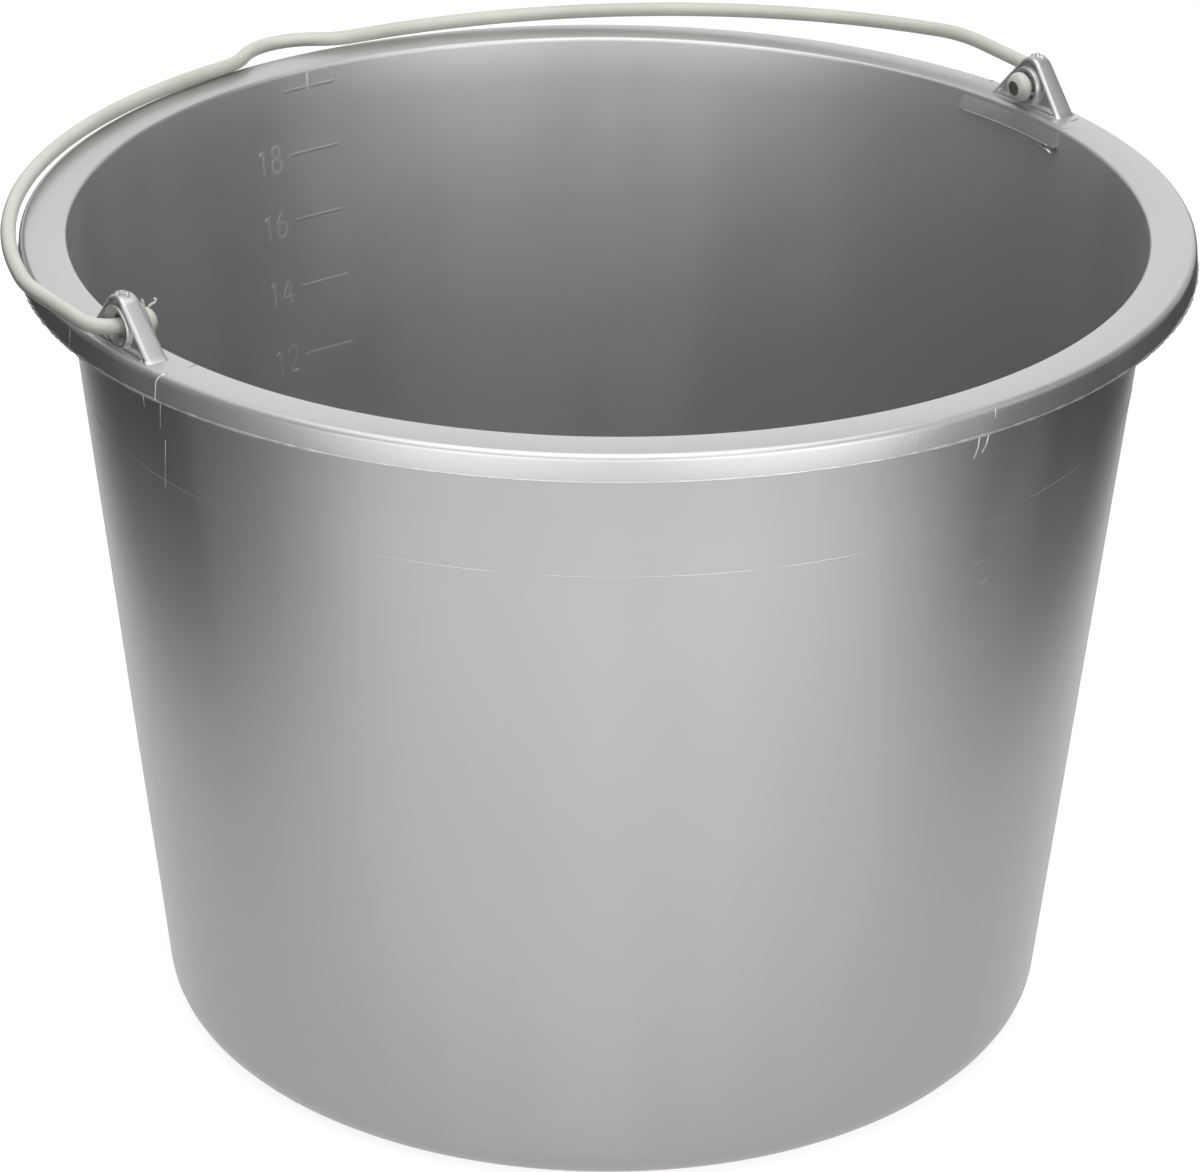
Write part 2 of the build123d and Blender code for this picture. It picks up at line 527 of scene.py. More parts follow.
def ragged_ring(name, radius, z, thickness, thin_share, noise_pitch):
    """A thread round the bucket whose thickness comes and goes."""
    path = []
    radii = []
    for step in range(ring_steps):
        point = around(radius, 360 * step / ring_steps, z)
        change = noise.noise(point / noise_pitch)
        path.append(point)
        radii.append(thickness * max(thin_share, min(1.0, usual_share + change)))
    points, faces = tube(path, radii, thread_sides, closed=True)
    points = [out_of_true(point) for point in points]
    return add_piece(name, points, faces, "bucket", "moulded_plastic", grey_plastic)


ragged_ring(
    "witness_line", radius=wall_outside(witness_height) - witness_sink, z=witness_height,
    thickness=0.24, thin_share=0.3, noise_pitch=18.0,
)
ragged_ring(
    "skirt_flash", radius=rim_radius - flash_sink, z=skirt_edge + flash_lift,
    thickness=0.48, thin_share=0.5, noise_pitch=2.5,
)

# %% [markdown]
# ## Ears
#
# Each ear is a rounded triangle that stands on the rim: a narrow border round a sunk field, and in the
# field a collar round the dished bore for the wire. On the inside the collar stands out as a low boss
# that the bead of the wire bears on. The ear leans out a little and is thinner at the top, so that it
# came out of the mould. Booleans would cut it, but leave thin faces that shade badly. Here every point
# lies on a ray from the middle of the bore, and its depth depends on how far it is from the edge and
# from the collar, so the mesh is a neat closed grid and every edge is soft.

# %% Sizes of the ears
ear_inner_face = 175.0
ear_thickness = 7.2
ear_draft = 0.03
ear_lean = 0.06
ear_lean_foot = 4.0
ear_height = 16.5
ear_half_width = 17.0
ear_apex_radius = 6.0
ear_root = 1.4
ear_foot_round = 0.6
ear_border = 0.9
ear_recess = 1.4
ear_edge_round = 1.4
hole_height = 6.6
hole_radius = 3.7
dish_radius = 5.3
dish_depth = 1.6
collar_radius = 6.5
inner_side = -1
outer_side = 1
collar_rises = {inner_side: 1.4, outer_side: 0.3}
ear_directions = {"east": 0, "west": 180}
print("the ears stand", ear_height, "mm above the rim")

# %% Outline of an ear
apex = Vector((0, ear_height - ear_apex_radius))
bore = Vector((0, hole_height))
flank_reach = math.asin(ear_apex_radius / math.hypot(ear_half_width, apex.y))
flank_normal = math.atan2(apex.y, -ear_half_width) - flank_reach - math.pi / 2
apex_steps = 40
ear_sides = []
for step in range(apex_steps + 1):
    angle = flank_normal + (math.pi - 2 * flank_normal) * step / apex_steps
    normal = Vector((math.cos(angle), math.sin(angle)))
    ear_sides.append((normal, normal.dot(apex - bore) + ear_apex_radius))


def ear_reach(direction, inset):
    """How far a ray from the bore goes inside the outline, moved inwards by inset; the foot stays."""
    reaches = []
    for normal, distance in ear_sides:
        slope = normal.dot(direction)
        if slope > 0:
            reaches.append((distance - inset) / slope)
    if direction.y < 0:
        reaches.append((-ear_root - bore.y) / direction.y)
    return min(reaches)


print("the ear reaches", round(ear_reach(Vector((1, 0)), 0), 1), "mm to each side of its bore")

# %% Relief of an ear's face
field_slope = 0.9
collar_slope = 0.6
crest_drop = 0.3
crest_width = 0.4


def eased(share):
    """A step from 0 to 1 with soft ends."""
    share = max(0.0, min(1.0, share))
    return share * share * (3 - 2 * share)


def face_depth(spot, side):
    """How deep a face lies at a spot: level on the border, sunk in the field, raised on the collar."""
    to_edge = min(distance - normal.dot(spot - bore) for normal, distance in ear_sides)
    into_field = min(to_edge, spot.y) - ear_border
    from_bore = (spot - bore).length
    off_collar = eased((from_bore - collar_radius) / collar_slope)
    rounded_crest = crest_drop * eased((dish_radius + crest_width - from_bore) / crest_width)
    raised = collar_rises[side] * (1 - off_collar)
    return ear_recess * eased(into_field / field_slope) * off_collar + rounded_crest - raised


# %% Section of an ear along one ray
ear_rays = 240
face_steps = 36
bevel_steps = 7


def ear_section(direction, side):
    """(distance from the bore's middle, depth, turn from face to edge) from mid-bore to mid-edge."""
    section = [
        (hole_radius, ear_thickness / 2, 0.0),
        (hole_radius, dish_depth, 0.0),
    ]
    face_end = ear_reach(direction, ear_edge_round)
    for step in range(face_steps + 1):
        reach = dish_radius + (face_end - dish_radius) * step / face_steps
        section.append((reach, face_depth(bore + direction * reach, side), 0.0))
    for step in range(1, bevel_steps + 1):
        turn = math.pi / 2 * step / bevel_steps
        reach = ear_reach(direction, ear_edge_round * (1 - math.sin(turn)))
        section.append((reach, ear_edge_round * (1 - math.cos(turn)), turn))
    return section


# %% Build the ears
def flared(up):
    """How far the small fillet at the foot stands out at this height above the rim."""
    if up >= ear_foot_round:
        return 0.0
    gap = ear_foot_round - max(up, 0.0)
    return ear_foot_round - math.sqrt(ear_foot_round ** 2 - gap ** 2)


def ear_mesh():
    """Points and faces of the ear at +X, from both faces of the section on every ray."""
    middle = ear_inner_face + ear_thickness / 2
    points = []
    for step in range(ear_rays):
        angle = 2 * math.pi * step / ear_rays
        direction = Vector((math.cos(angle), math.sin(angle)))
        both_faces = [(*spot, inner_side) for spot in ear_section(direction, inner_side)]
        both_faces += [(*spot, outer_side) for spot in reversed(ear_section(direction, outer_side))]
        for reach, depth, turn, side in both_faces:
            spot = bore + direction * reach
            out = ear_thickness / 2 - depth
            lean = 0.0
            if reach > hole_radius:
                lean = ear_lean * (spot.y - ear_lean_foot)
                out += ear_draft * (ear_lean_foot - spot.y)
                out += flared(spot.y) * math.cos(turn)
                spot.x += math.copysign(flared(spot.y) * math.sin(turn), spot.x)
            points.append(Vector((middle + lean + side * out, spot.x, height + spot.y)))
    columns = len(points) // ear_rays
    return points, grid_faces(ear_rays, columns, wrap_rows=True, wrap_columns=True)


ear_points, ear_faces = ear_mesh()
for side, azimuth in ear_directions.items():
    turn = Matrix.Rotation(math.radians(azimuth), 3, "Z")
    points = [turn @ point for point in ear_points]
    add_piece("ear_" + side, points, ear_faces, "bucket", "moulded_plastic", grey_plastic)

# %% [markdown]
# ### Gate nubs
#
# The plastic enters each ear through a small gate at its top. The gate is broken off and leaves a
# rough nub. A few lumps, each a ball pushed about by noise, are sunk into the apex side by side.

# %% Rough nubs on the ears
nub_lumps = [
    {"along": -1.3, "across": 0.9, "size": 1.0},
    {"along": -0.1, "across": 0.2, "size": 1.25},
    {"along": 0.9, "across": -0.7, "size": 1.0},
    {"along": 1.9, "across": -0.2, "size": 0.7},
]
nub_sink = 0.25
nub_roughness = 0.5
lump_pitch = 1.6
ball_steps = 12
ball_outline = []
for step in range(ball_steps + 1):
    angle = math.pi * (step / ball_steps - 0.5)
    ball_outline.append(Vector((math.cos(angle), math.sin(angle))))


def lump(centre, size, roughness):
    """Points and faces of a rough ball."""
    points, faces = turned(ball_outline, 2 * ball_steps)
    rough_points = []
    for point in points:
        change = roughness * noise.noise(point * lump_pitch + centre)
        rough_points.append(centre + point * size * (1 + change))
    return rough_points, faces


nubs = []
for side, azimuth in ear_directions.items():
    turn = Matrix.Rotation(math.radians(azimuth), 3, "Z")
    for spot in nub_lumps:
        drop = ear_apex_radius - math.sqrt(ear_apex_radius ** 2 - spot["along"] ** 2)
        up = height + ear_height - drop - nub_sink * spot["size"]
        lean = ear_lean * (ear_height - ear_lean_foot)
        across = ear_inner_face + ear_thickness / 2 + lean + spot["across"]
        centre = turn @ Vector((across, spot["along"], up))
        nubs.append(lump(centre, spot["size"], nub_roughness))
add_piece("gate_nubs", *join(nubs), "bucket", "moulded_plastic", grey_plastic)

# %% [markdown]
# ### Parting ticks
#
# Each ear is formed by its own slide in the mould. Where the slide meets the rest of the mould, a
# fine raised tick runs over the rim and down the skirt on both sides of the ear, and short upright
# lines follow below it on the wall. They are threads that follow the outline of the shell. Beside the
# foot of each ear the rim also has a short fold, and at the front some loose flash hangs from the skirt.

# %% Sizes of the ticks
# A tick's place is in degrees from the ear; a line's ends are (degrees from the ear, depth below the rim).
tick_radii = {1: 0.36, -1: 0.2}
tick_sink = 0.12
tick_offset = 8.0
tick_lean = 0.6
tick_start = Vector((182.4, height))
tick_outline = [tick_start, *reversed(corner_arcs["rim_edge"]), corner_arcs["skirt_outside"][-1]]
blob_share = 1.5
blob_roughness = 0.4
fold_radius = 0.7
fold_sink = 0.45
fold_ends = [
    {"radius": 176.0, "offset": -6.85},
    {"radius": 182.0, "offset": -6.35},
]
wall_line_radius = 0.22
wall_lines = [
    {"from": (1.5, 19.4), "to": (0.8, 28.5)},
    {"from": (1.5, 31.9), "to": (0.2, 49.2)},
    {"from": (-1.9, 20.7), "to": (-1.9, 24.4)},
]
print("each tick follows", len(tick_outline), "points of the shell's outline")

# %% Ticks beside the ears
ticks = []
for azimuth in ear_directions.values():
    for sign, tick_radius in tick_radii.items():
        path = []
        for place, spot in enumerate(tick_outline):
            share = place / (len(tick_outline) - 1)
            angle = azimuth + sign * (tick_offset - tick_lean * share)
            path.append(around(spot.x - tick_sink, angle, spot.y - tick_sink))
        ticks.append(thread(path, tick_radius))
        ticks.append(lump(path[-1], blob_share * tick_radius, blob_roughness))
    fold = [around(end["radius"], azimuth + end["offset"], height - fold_sink) for end in fold_ends]
    ticks.append(thread(fold, fold_radius))
    for line in wall_lines:
        ends = []
        for offset, depth in (line["from"], line["to"]):
            z = height - depth
            ends.append(around(wall_outside(z) - tick_sink, azimuth + offset, z))
        ticks.append(thread([ends[0], ends[0].lerp(ends[1], 0.5), ends[1]], wall_line_radius))
points, faces = join(ticks)
points = [out_of_true(point) for point in points]
add_piece("parting_ticks", points, faces, "bucket", "moulded_plastic", grey_plastic)

# %% Loose flash under the skirt
tails = [
    {"root": 268.5, "tip": 268.2, "length": 7.4},
    {"root": 269.6, "tip": 269.1, "length": 6.2},
]
tail_radius = 0.28
tail_root_sink = 0.4
tail_root_lift = 0.3
tail_tip_sink = 1.6
tail_bow = Vector((0.3, -0.3, 0))
skirt_lines = [
    {"azimuth": 261.7, "high": 2.3, "low": 6.2},
    {"azimuth": 270.3, "high": 0.9, "low": 4.3},
]
skirt_line_radius = 0.25
skirt_line_sink = 0.14

flash = []
for tail in tails:
    root = around(rim_radius - tail_root_sink, tail["root"], skirt_edge + tail_root_lift)
    tip = around(rim_radius - tail_tip_sink, tail["tip"], skirt_edge - tail["length"])
    bent = root.lerp(tip, 0.5) + tail_bow
    flash.append(thread([root, bent, tip], tail_radius))
for line in skirt_lines:
    ends = []
    for depth in (line["high"], line["low"]):
        radius = rim_radius - skirt_flare * (1 - depth / skirt_depth)
        ends.append(around(radius - skirt_line_sink, line["azimuth"], height - depth))
    flash.append(thread(ends, skirt_line_radius))
add_piece("loose_flash", *join(flash), "bucket", "moulded_plastic", grey_plastic)

# %% [markdown]
# ## Pads and marks inside
#
# Under each ear the inner wall is thicker, as a shallow wedge with a clean lower edge, and a nib of
# flash hangs from one end of that edge. Below the hump of the folded bail, raised lines and numbers
# show the fill in litres. Each line is placed by the volume of the cone below it, so the scale is true.
# The numbers are drawn with plain strokes, and each stroke is a low rounded ridge that follows the wall.

# %% Section of a pad
pad_half_angle = 8.2
pad_depth = 6.3
pad_top_reach = 0.2
pad_low_proud = 2.7
pad_edge_round = 0.7
pad_lip_round = 0.35
pad_lip_steps = 4
pad_root = 176.5
pad_drop = 0.02
pad_in_wall = 0.6
pad_in_rim = 1.0
pad_under_rim = 0.4
pad_low = height - pad_depth


def pad_section():
    """Corners of the wedge from the rim down to its lower edge and back through the wall."""
    root = Vector((pad_root, height - pad_drop))
    top = Vector((wall_inside(height) + mouth_round - pad_top_reach, height - pad_drop))
    lower_edge = Vector((wall_inside(pad_low) - pad_low_proud, pad_low))
    in_wall = Vector((wall_inside(pad_low) + pad_in_wall, pad_low))
    in_rim = Vector((wall_inside(height) + pad_in_rim, under_rim + pad_under_rim))
    section = [root]
    section += rounded_corner(root, top, lower_edge, pad_edge_round, arc_steps)
    section += rounded_corner(top, lower_edge, in_wall, pad_lip_round, pad_lip_steps)
    return [*section, in_wall, in_rim]


print("the pad's section has", len(pad_section()), "corners")

# %% Pads under the ears
# A nib's spots are (degrees from the ear, depth below the rim).
pad_steps = 48
lip_radius = 0.3
lip_sink = 0.1
lip_lift = 0.25
lip_margin = 0.8
nib_radius = 0.75
nib_proud = 2.0
nib_spots = [(-8.0, 8.2), (-6.8, 7.6), (-5.5, 6.9)]


def across_pad(half_angle):
    """Even offsets in degrees from one end of the pad to the other."""
    return [half_angle * (2 * step / pad_steps - 1) for step in range(pad_steps + 1)]


def pad_mesh(azimuth):
    """A sector of the pad's section with plain ends."""
    section = pad_section()
    points = []
    for offset in across_pad(pad_half_angle):
        points += [around(spot.x, azimuth + offset, spot.y) for spot in section]
    return points, capped_faces(pad_steps + 1, len(section))


lip_place = wall_inside(pad_low) - pad_low_proud + lip_sink
for side, azimuth in ear_directions.items():
    lip_path = []
    for offset in across_pad(pad_half_angle - lip_margin):
        lip_path.append(around(lip_place, azimuth + offset, pad_low + lip_lift))
    nib = []
    for offset, depth in nib_spots:
        nib.append(around(wall_inside(height - depth) - nib_proud, azimuth + offset, height - depth))
    parts = [pad_mesh(azimuth), thread(lip_path, lip_radius), thread(nib, nib_radius)]
    add_piece("pad_" + side, *join(parts), "bucket", "moulded_plastic", grey_plastic)

# %% Heights of the litre marks
litre = 1e6
mark_litres = range(2, 21, 2)
level_tolerance = 0.01


def held_below(level):
    """Volume inside, from the floor up to a level, as a cut cone."""
    low = wall_inside(floor_thickness)
    high = wall_inside(level)
    return math.pi / 3 * (level - floor_thickness) * (low ** 2 + low * high + high ** 2)


def fill_level(litres):
    """Level at which the bucket holds this much, by halving the interval."""
    low = floor_thickness
    high = height
    while high - low > level_tolerance:
        middle = (low + high) / 2
        if held_below(middle) < litres * litre:
            low = middle
        else:
            high = middle
    return low


top_level = fill_level(mark_litres[-1])
print(mark_litres[-1], "litres come", round(height - top_level, 1), "mm below the rim")

# %% A low bar on the inner wall
bar_section = [(-1.0, -0.5), (-1.0, 0.4), (-0.6, 1.0), (0.6, 1.0), (1.0, 0.4), (1.0, -0.5)]
bar_end_rise = 0.3


def raised_bar(start, end, half_width, proud, steps, upright=False):
    """A bar with bevelled edges between two (azimuth, height) ends; its width is across the run."""
    points = []
    for step in range(steps + 1):
        share = step / steps
        azimuth = start[0] + (end[0] - start[0]) * share
        z = start[1] + (end[1] - start[1]) * share
        rise = bar_end_rise if step in (0, steps) else 1.0
        for across, out in bar_section:
            radius = wall_inside(z) - (out * rise if out > 0 else out) * proud
            if upright:
                points.append(around(radius, azimuth + math.degrees(across * half_width / radius), z))
            else:
                points.append(around(radius, azimuth, z + across * half_width))
    return points, capped_faces(steps + 1, len(bar_section))


# %% Lines of the scale
mark_azimuth = 90
mark_half_angle = 3.45
mark_steps = 24
mark_half_height = 0.6
mark_proud = 0.12
stem_half_width = 0.9
stem_proud = 0.2
stem_steps = 6
stem_overshoot = 1.5

bars = []
for litres in mark_litres:
    level = fill_level(litres)
    start = (mark_azimuth - mark_half_angle, level)
    end = (mark_azimuth + mark_half_angle, level)
    bars.append(raised_bar(start, end, mark_half_height, mark_proud, mark_steps))
stem_top = (mark_azimuth, height - mouth_drop - mouth_round)
stem_foot = (mark_azimuth, top_level - stem_overshoot)
bars.append(raised_bar(stem_top, stem_foot, stem_half_width, stem_proud, stem_steps, upright=True))
points, faces = join(bars)
points = [out_of_true(point) for point in points]
# The lines use the paler finish, whose colour is a painted highlight.
add_piece("litre_lines", points, faces, "bucket", "moulded_plastic", painted_highlight_plastic)

# %% Strokes of the digits
# Each stroke is a run of (across, up) spots in a box that is one wide and one high.
def bow(centre, radii, start, end, steps=14):
    """Points on an oval from one angle to another, in degrees."""
    spots = []
    for step in range(steps + 1):
        angle = math.radians(start + (end - start) * step / steps)
        spots.append((centre[0] + radii[0] * math.cos(angle), centre[1] + radii[1] * math.sin(angle)))
    return spots


digit_strokes = {
    "0": [bow((0.5, 0.5), (0.42, 0.48), 90, 450, 28)],
    "1": [[(0.2, 0.76), (0.38, 0.84), (0.55, 0.98), (0.55, 0.5), (0.55, 0.02)]],
    "2": [bow((0.5, 0.71), (0.4, 0.27), 170, -30) + [(0.1, 0.03), (0.5, 0.02), (0.92, 0.02)]],
    "4": [[(0.72, 0.02), (0.72, 0.5), (0.72, 0.98), (0.4, 0.64), (0.06, 0.28), (0.5, 0.28), (0.96, 0.28)]],
    "6": [bow((0.84, 0.3), (0.76, 0.68), 108, 180) + bow((0.5, 0.3), (0.42, 0.28), 180, 540, 24)],
    "8": [bow((0.5, 0.75), (0.35, 0.23), -90, 270, 22), bow((0.5, 0.27), (0.43, 0.25), 90, 450, 24)],
}
print("digits drawn:", " ".join(digit_strokes))

# %% A ridge on the inner wall
ridge_half_width = 0.56
ridge_proud = 0.06
ridge_foot = 0.3
ridge_round_steps = 6


def on_inner_wall(right, up, level):
    """A point on the wall's inner skin, right of the number's left edge and above the level."""
    z = level + up
    radius = wall_inside(z)
    return around(radius, -math.degrees(right / radius), z)


def wall_ridge(path):
    """Points and faces of a low rounded ridge along a path on the inner wall; its foot is in the wall."""
    section = [(-1.0, -ridge_foot)]
    for step in range(ridge_round_steps + 1):
        across = 2 * step / ridge_round_steps - 1
        section.append((across, ridge_proud * (1 - across ** 2)))
    section.append((1.0, -ridge_foot))
    points = []
    for index, spot in enumerate(path):
        ahead = path[min(index + 1, len(path) - 1)]
        behind = path[max(index - 1, 0)]
        to_axis = Vector((-spot.x, -spot.y, 0)).normalized()
        off_wall = to_axis * math.cos(wall_draft) + Vector((0, 0, math.sin(wall_draft)))
        side = (ahead - behind).cross(off_wall).normalized()
        for across, rise in section:
            points.append(spot + side * across * ridge_half_width + off_wall * rise)
    return points, capped_faces(len(path), len(section))


# %% Numbers of the scale
digit_height = 9.6
digit_width = 4.6
digit_gap = 1.3
digits_offset = 4.6
digits_end = mark_azimuth + digits_offset
numbered_litres = mark_litres[:-1]

strokes = []
for litres in numbered_litres:
    digits = str(litres)
    width = len(digits) * digit_width + (len(digits) - 1) * digit_gap
    level = fill_level(litres)
    left = digits_end + math.degrees(width / wall_inside(level))
    turn = Matrix.Rotation(math.radians(left), 3, "Z")
    for place, digit in enumerate(digits):
        offset = place * (digit_width + digit_gap)
        for stroke in digit_strokes[digit]:
            path = []
            for across, up in stroke:
                right = offset + across * digit_width
                path.append(turn @ on_inner_wall(right, (up - 0.5) * digit_height, level))
            strokes.append(wall_ridge(path))
points, faces = join(strokes)
points = [out_of_true(point) for point in points]
# The numbers use the paler finish, whose colour is a painted highlight.
add_piece("litre_numbers", points, faces, "bucket", "moulded_plastic", painted_highlight_plastic)

# %% [markdown]
# ## The bail
#
# The bail is one wire: a small hump in its middle, a wide arc that follows the rim, a knee, a
# straight arm, and a sharp bend through each ear. The half at the west ear lies on the rim. The other
# half is sprung and stands a little higher. The path is put together from the same arcs as in the
# CAD model, and a round tube follows it.

# %% Sizes of the bail
wire_radius = 2.4
bail_arc_radius = 193.7
bail_arc_centre = Vector((0, -10.2, 0))
bail_arc_end = math.radians(20)
bail_arm = 188.6
bail_arm_lean = math.radians(3.4)
bail_knee_radius = 60.0
bail_end_bend = 9.0
bail_sprung_angle = math.radians(1.76)
bail_rest_angle = math.radians(-1.28)
hump_height = 9.6
hump_radius = 22.0
bead_inner = 169.3
bead_outer = 173.4
wire_end = bead_outer - 1.0
hinge_height = height + hole_height
hump_top = bail_arc_centre.y + bail_arc_radius + hump_height
print("the hinge lies", round(hinge_height, 1), "mm above the floor")

# %% Half of the wire's path
wire_step = 3.0
bend_steps = 10


def flat_arc(centre, radius, start, end):
    """Points of an arc in the plane of the bail."""
    steps = math.ceil(abs(end - start) * radius / wire_step)
    points = []
    for step in range(steps + 1):
        angle = start + (end - start) * step / steps
        points.append(centre + radius * Vector((math.cos(angle), math.sin(angle), 0)))
    return points


def half_bail(tip):
    """Centre line of the east half from the hump's top to the bead, tipped about the hump's top."""
    hump_centre = Vector((0, hump_top - hump_radius, 0))
    to_big = bail_arc_radius + hump_radius
    to_hump = 2 * hump_radius
    span = hump_centre.y - bail_arc_centre.y
    along = (to_big ** 2 - to_hump ** 2 + span ** 2) / (2 * span)
    hollow = Vector((math.sqrt(to_big ** 2 - along ** 2), bail_arc_centre.y + along, 0))
    hump_side = math.atan2(hollow.y - hump_centre.y, hollow.x)
    hollow_side = math.atan2(hollow.y - bail_arc_centre.y, hollow.x)
    path = flat_arc(hump_centre, hump_radius, math.pi / 2, hump_side)
    path += flat_arc(hollow, hump_radius, hump_side + math.pi, hollow_side + math.pi)[1:]
    path += flat_arc(bail_arc_centre, bail_arc_radius, hollow_side, bail_arc_end)[1:]
    about_top = Vector((0, hump_top, 0))
    tilt = Matrix.Rotation(-tip, 3, "X")
    path = [about_top + tilt @ (point - about_top) for point in path]

    arc_tip = path[-1]
    tangent = tilt @ Vector((math.sin(bail_arc_end), -math.cos(bail_arc_end), 0))
    lean = math.tan(bail_arm_lean)
    reach = (bail_arm - lean * arc_tip.y - arc_tip.x) / (tangent.x + lean * tangent.y)
    knee = arc_tip + tangent * reach
    elbow = Vector((bail_arm, 0, 0))
    end = Vector((wire_end, 0, 0))
    path += rounded_corner(arc_tip, knee, elbow, bail_knee_radius, bend_steps)
    path += rounded_corner(knee, elbow, end, bail_end_bend, bend_steps)
    path.append(end)
    return path


# %% The whole path, at rest on the rim
same_place = 0.01


def at_rest(point):
    """From the plane of the bail to its rest on the rim."""
    return Matrix.Rotation(bail_rest_angle, 3, "X") @ point + Vector((0, 0, hinge_height))


sprung_half = half_bail(bail_sprung_angle)
flat_half = [Vector((-point.x, point.y, point.z)) for point in half_bail(0)]
corner_path = [*reversed(flat_half), *sprung_half[1:]]
wire_path = [corner_path[0]]
for point in corner_path[1:]:
    gap = (point - wire_path[-1]).length
    if gap > same_place:
        pieces = math.ceil(gap / (2 * wire_step))
        last = wire_path[-1]
        wire_path += [last.lerp(point, step / pieces) for step in range(1, pieces + 1)]
wire_path = [at_rest(point) for point in wire_path]
wire_length = sum((ahead - behind).length for behind, ahead in zip(wire_path, wire_path[1:]))
print("wire length", round(wire_length, 1))

# %% The wire itself
wire_sides = 28
points, faces = tube(wire_path, [wire_radius] * len(wire_path), wire_sides)
wire = add_piece("bail_wire", points, faces, "bail", "coated_wire", ivory_coating)
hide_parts("wire_bail")

# %% [markdown]
# ## Beads on the wire's ends
#
# Inside each ear the wire ends in a domed bead that is wider than the bore, so it can't be pulled
# out. The two aren't quite alike, and each lies where the loose wire lets it, one high and one low.
# The coating runs over the dome and stops at the cut, which shows as a dark disc of steel. At the
# west bead the coating was drawn into two short strands.

# %% A section turned along the hinge
def turned_along_x(outline, sides, lift):
    """Points and faces of (x, radius) spots turned about a line beside the hinge, where both ends lie."""
    level = hinge_height + lift
    points = []
    for x, radius in outline[1:-1]:
        for step in range(sides):
            angle = 2 * math.pi * step / sides
            points.append(Vector((x, radius * math.cos(angle), level + radius * math.sin(angle))))
    rings = len(outline) - 2
    faces = grid_faces(rings, sides, wrap_columns=True)
    first = len(points)
    points += [Vector((outline[0][0], 0, level)), Vector((outline[-1][0], 0, level))]
    for step in range(sides):
        after = (step + 1) % sides
        faces.append((first, after, step))
        faces.append((first + 1, (rings - 1) * sides + step, (rings - 1) * sides + after))
    return points, faces


# %% Sections of a bead and of a cut end
# A cut end's spots are (depth from the bead's end, share of the cut's radius).
beads = {
    "east": {"sign": 1, "radius": 4.9, "lift": 0.45},
    "west": {"sign": -1, "radius": 4.4, "lift": -0.9},
}
bead_dome = 2.5
bead_ear_round = 0.6
bead_sides = 48
dome_steps = 14
bead_round_steps = 6
cut_radius = 2.5
cut_depth = 0.25
cut_section = [(0.08, 0.0), (0.05, 0.5), (0.10, 0.85), (0.22, 1.0), (0.6, 1.0), (0.6, 0.0)]
cut_outline = [(bead_inner + depth, share * cut_radius) for depth, share in cut_section]


def bead_outline(radius):
    """Half section of a bead: the cut's seat, the dome, the side and the flat towards the ear."""
    seat = bead_inner + cut_depth
    outline = [(seat, 0), (seat, cut_radius)]
    cut_angle = math.asin(cut_radius / radius)
    dome_reach = bead_dome / math.cos(cut_angle)
    dome_foot = bead_inner + bead_dome
    for step in range(dome_steps + 1):
        angle = cut_angle + (math.pi / 2 - cut_angle) * step / dome_steps
        outline.append((dome_foot - dome_reach * math.cos(angle), radius * math.sin(angle)))
    side_start = Vector((dome_foot, radius))
    ear_corner = Vector((bead_outer, radius))
    ear_end = Vector((bead_outer, 0))
    ear_edge = rounded_corner(side_start, ear_corner, ear_end, bead_ear_round, bead_round_steps)
    outline += [tuple(spot) for spot in ear_edge]
    return [*outline, (bead_outer, 0)]


print("a bead is", round(bead_outer - bead_inner, 1), "mm long")

# %% Beads and cut ends
for side, bead in beads.items():
    for name, outline, finish in (
        ("bead_", bead_outline(bead["radius"]), ivory_coating),
        ("cut_end_", cut_outline, cut_steel),
    ):
        points, faces = turned_along_x(outline, bead_sides, bead["lift"])
        points = [Vector((bead["sign"] * point.x, point.y, point.z)) for point in points]
        add_piece(name + side, points, faces, "bail", "coated_wire", finish)

# %% Strands of coating at the west bead
strand_place = -171.3
strand_sink = 0.3
west_bead_top = hinge_height + beads["west"]["lift"] + beads["west"]["radius"]
strand_root = Vector((strand_place, 0, west_bead_top - strand_sink))
strand_offsets = [
    [(-0.9, 0.3, -0.6), (-0.8, 0.8, 1.0), (-1.0, 0.9, 2.1), (-1.2, 1.0, 3.0)],
    [
        (0, 0, -0.6), (0.5, -0.1, 0.4), (1.24, -0.29, 1.1),
        (2.37, -0.75, 1.7), (2.83, -0.61, 2.5), (2.2, 0, 2.7),
    ],
]
strand_radii = [0.5, 0.42]
whiskers = []
for offsets, radius in zip(strand_offsets, strand_radii):
    whiskers.append(thread([strand_root + Vector(offset) for offset in offsets], radius))
add_piece("coating_strands", *join(whiskers), "bail", "coated_wire", ivory_coating)

# %% [markdown]
# ## Stage
#
# The bucket stands on a white paper sweep in a dim studio. Most of the light comes from a large soft
# lamp overhead, with weak ones in front, at the right and behind. The satin wall also mirrors what is
# around it: white paper that is brightest in front, a white card by the camera, a pale backdrop, and
# the dim room at the sides, which lets the sides of the bucket fall dark. The camera sees plain white.

# %% Paper floor
floor_reach = 4.0
floor_corners = [
    (-floor_reach, -floor_reach, 0),
    (floor_reach, -floor_reach, 0),
    (floor_reach, floor_reach, 0),
    (-floor_reach, floor_reach, 0),
]

floor_mesh = bpy.data.meshes.new("paper_floor")
floor_mesh.from_pydata(floor_corners, [], [(0, 1, 2, 3)])
paper_floor = bpy.data.objects.new("paper_floor", floor_mesh)
scene.collection.objects.link(paper_floor)
print("the floor reaches", floor_reach, "m each way")

# %% Where the paper lies
# The paper runs back from the camera, narrows beside the bucket and fades out at its edges.
paper_waist = 0.385
paper_waist_place = -0.12
paper_widening = 1.5
paper_fade_start = 0.7
paper_fade_end = 1.2
paper_across = (0.82, -0.572, 0.0)
paper_along = (0.572, 0.82, 0.0)


def along(tree, vector, direction):
    """How far a vector goes in a direction."""
    sockets = {0: vector, 1: direction}
    return add_node(tree, "ShaderNodeVectorMath", sockets, operation="DOT_PRODUCT").outputs["Value"]


